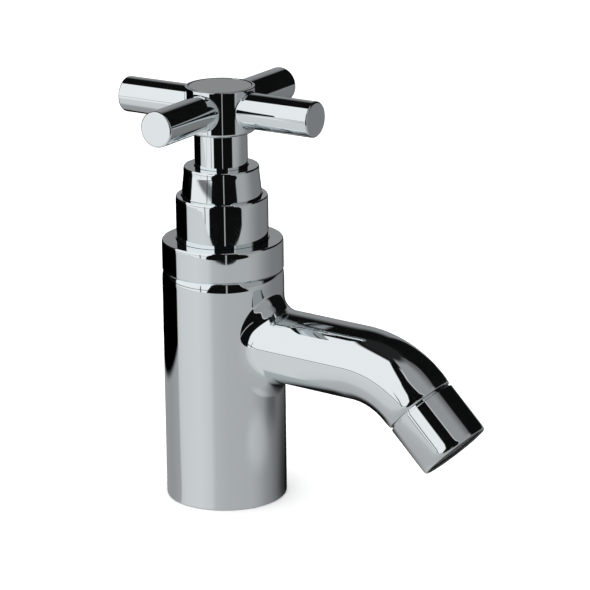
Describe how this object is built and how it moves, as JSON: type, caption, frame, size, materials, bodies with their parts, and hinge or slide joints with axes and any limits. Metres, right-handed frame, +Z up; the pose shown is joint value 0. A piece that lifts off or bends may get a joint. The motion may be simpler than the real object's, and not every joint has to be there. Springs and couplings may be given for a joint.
{
  "type": "basin pillar tap",
  "caption": "Chrome basin pillar tap: round column on the deck, stepped sleeves, cross handle on a quarter turn valve, spout bending down to an aerator.",
  "frame": {"origin": "centre of the foot, on the deck that the tap stands on", "axes": "+Z up the column and the handle's axis; the spout points along -Y; X is across the tap"},
  "size_m": [0.0802, 0.1456, 0.2075],
  "materials": {
    "chrome": "polished chrome plate on brass",
    "brass": "machined",
    "steel": "stainless, plain",
    "rubber": "matte moulded",
    "fibre": "pressed fibre",
    "ceramic": "lapped alumina",
    "plastic": "dark moulded acetal"
  },
  "bodies": {
    "tap": {"threaded_tail": "brass", "backnut": "brass", "headwork_housing": "brass", "sleeve_nut": "brass", "fixing_washer": "steel", "aerator_screen": "steel", "base_gasket": "rubber", "rubber_washer": "rubber", "seat_seal": "rubber", "aerator_gasket": "rubber", "tail_gasket": "fibre", "headwork_gasket": "fibre", "ceramic_disc_lower": "ceramic", "thrust_washer": "plastic", "aerator_insert": "plastic", "tap_body": "chrome", "body_collar": "chrome", "cover_sleeve_large": "chrome", "cover_sleeve_middle": "chrome", "cover_sleeve_small": "chrome", "aerator_housing": "chrome"},
    "handle": {"cross_handle": "chrome", "handle_cap": "chrome", "handle_screw": "steel", "handle_bush": "plastic", "spindle_extension": "brass", "spindle": "brass", "spindle_o_ring_1": "rubber", "spindle_o_ring_2": "rubber", "retaining_clip": "steel", "ceramic_disc_upper": "ceramic"}
  },
  "joints": [
    {"name": "handle_turn", "type": "hinge", "parent": "tap", "child": "handle", "pos_m": [0, 0, 0.14485], "axis": [0, 0, 1], "range_deg": [0, 90]}
  ]
}
